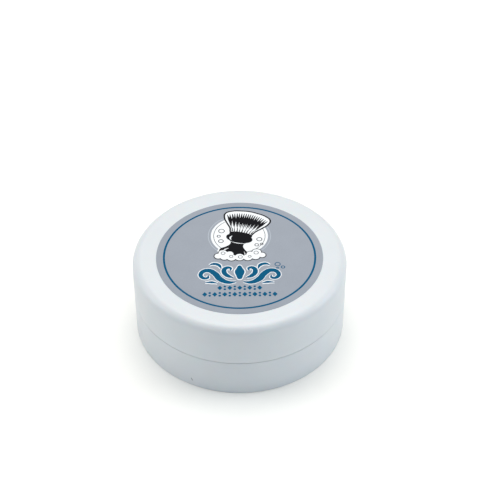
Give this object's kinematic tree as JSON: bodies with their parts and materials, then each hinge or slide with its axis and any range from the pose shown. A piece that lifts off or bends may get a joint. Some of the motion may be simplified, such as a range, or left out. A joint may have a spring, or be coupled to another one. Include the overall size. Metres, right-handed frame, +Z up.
{
  "type": "shaving soap jar",
  "caption": "Low round screw-top jar holding a puck of shaving soap under a lined lid and a sealing disc, with a round label on top.",
  "frame": {"origin": "on the table under the centre of the jar", "axes": "+Z up along the jar's axis; the label on the lid reads upright for someone at -Y"},
  "size_m": [0.085, 0.085, 0.0349],
  "materials": {
    "white_shell": "satin white polypropylene",
    "white_inner": "smooth white polypropylene",
    "clear_disc": "milky natural polyethylene",
    "foam": "closed-cell white foam",
    "soap": "firm white shaving soap, waxy",
    "label": "printed film, satin",
    "base_paper": "printed paper"
  },
  "bodies": {
    "jar": {"base_shell": "white_shell", "inner_cup": "white_inner", "soap_puck": "soap", "base_label": "base_paper"},
    "seal": {"sealing_disc": "clear_disc"},
    "liner": {"liner_wad": "foam"},
    "lid": {"lid_insert": "white_inner", "lid_shell": "white_shell", "top_label": "label"}
  },
  "joints": [
    {"name": "lid_rise", "type": "slide", "parent": "jar", "child": "liner", "axis": [0, 0, 1], "range_m": [0, 0.03]},
    {"name": "lid_turn", "type": "hinge", "parent": "liner", "child": "lid", "pos_m": [0, 0, 0], "axis": [0, 0, 1], "range_deg": [0, 900]},
    {"name": "seal_lift", "type": "slide", "parent": "jar", "child": "seal", "axis": [0, 0, 1], "range_m": [0, 0.012]}
  ],
  "couplings": [
    {"joint": "lid_rise", "follows": "lid_turn", "m_per_rad": 0.0019098},
    {"joint": "seal_lift", "follows": "lid_turn", "m_per_rad": 0.00076392}
  ]
}
